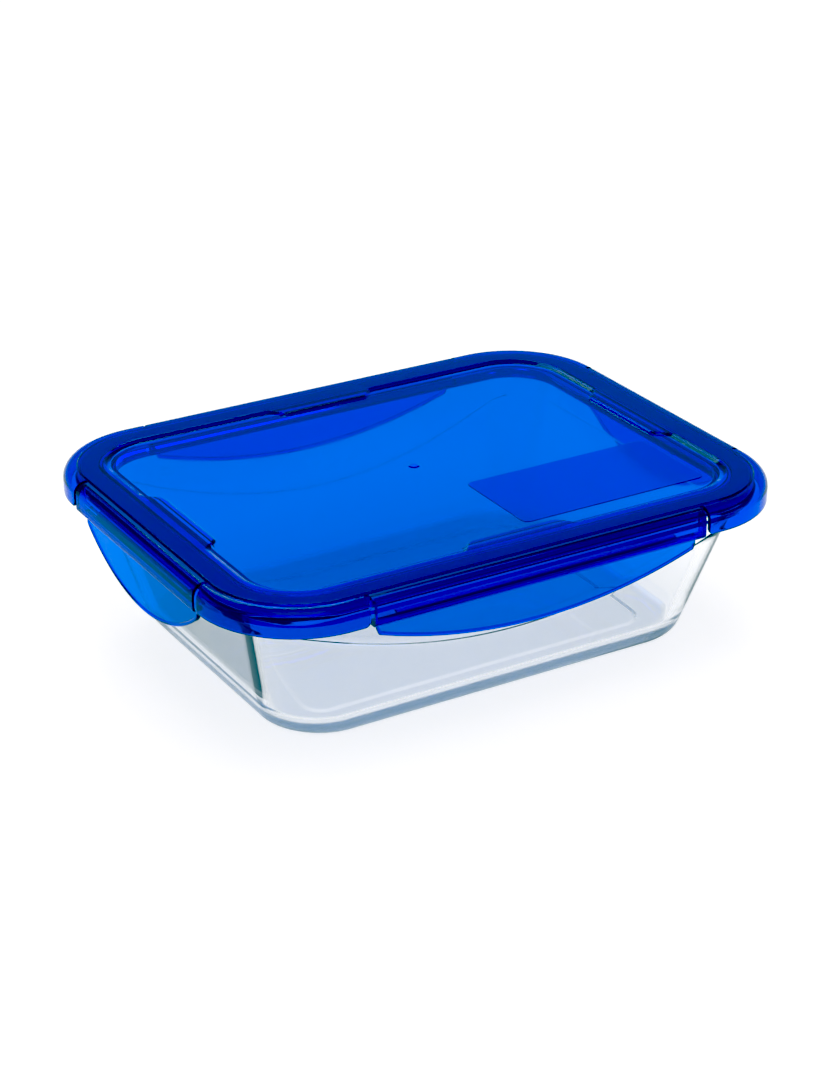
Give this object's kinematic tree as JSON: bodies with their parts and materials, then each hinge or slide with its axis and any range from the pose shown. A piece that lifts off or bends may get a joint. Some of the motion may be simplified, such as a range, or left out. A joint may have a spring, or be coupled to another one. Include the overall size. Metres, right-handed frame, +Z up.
{
  "type": "glass storage container",
  "caption": "Rectangular tapered glass food dish with a translucent blue clip-on lid: raised ring, silicone seal and a living-hinged locking flap on each side.",
  "frame": {"origin": "on the table, under the middle of the dish", "axes": "+X along the long side, +Y from the front flap to the back flap, +Z up"},
  "size_m": [0.24, 0.186, 0.0671],
  "materials": {
    "clear_glass": "clear pressed glass, smooth",
    "blue_plastic": "translucent deep blue polypropylene, glossy",
    "hinge_web": "the same plastic, stretched thin and slightly whitened",
    "silicone": "translucent silicone, satin",
    "write_on": "fine matt surface that takes a marker"
  },
  "bodies": {
    "dish": {"glass_dish": "clear_glass"},
    "lid": {"lid_shell": "blue_plastic", "seal": "silicone", "write_on_field": "write_on", "hinge_front": "hinge_web", "hinge_back": "hinge_web", "hinge_left": "hinge_web", "hinge_right": "hinge_web"},
    "front_flap": {"flap_front": "blue_plastic", "catch_front": "blue_plastic"},
    "back_flap": {"flap_back": "blue_plastic", "catch_back": "blue_plastic"},
    "left_flap": {"flap_left": "blue_plastic", "catch_left": "blue_plastic"},
    "right_flap": {"flap_right": "blue_plastic", "catch_right": "blue_plastic"}
  },
  "joints": [
    {"name": "lid_lift", "type": "slide", "parent": "dish", "child": "lid", "axis": [0, 0, 1], "range_m": [0, 0.08], "deforming": ["catch_front", "catch_back", "catch_left", "catch_right"]},
    {"name": "front_hinge", "type": "hinge", "parent": "lid", "child": "front_flap", "pos_m": [0, -0.0883, 0.06624], "axis": [-1, 0, 0], "range_deg": [0, 135], "deforming": ["hinge_front"]},
    {"name": "back_hinge", "type": "hinge", "parent": "lid", "child": "back_flap", "pos_m": [0, 0.0883, 0.06624], "axis": [1, 0, 0], "range_deg": [0, 135], "deforming": ["hinge_back"]},
    {"name": "left_hinge", "type": "hinge", "parent": "lid", "child": "left_flap", "pos_m": [-0.1153, 0, 0.06624], "axis": [0, 1, 0], "range_deg": [0, 135], "deforming": ["hinge_left"]},
    {"name": "right_hinge", "type": "hinge", "parent": "lid", "child": "right_flap", "pos_m": [0.1153, 0, 0.06624], "axis": [0, -1, 0], "range_deg": [0, 135], "deforming": ["hinge_right"]}
  ]
}
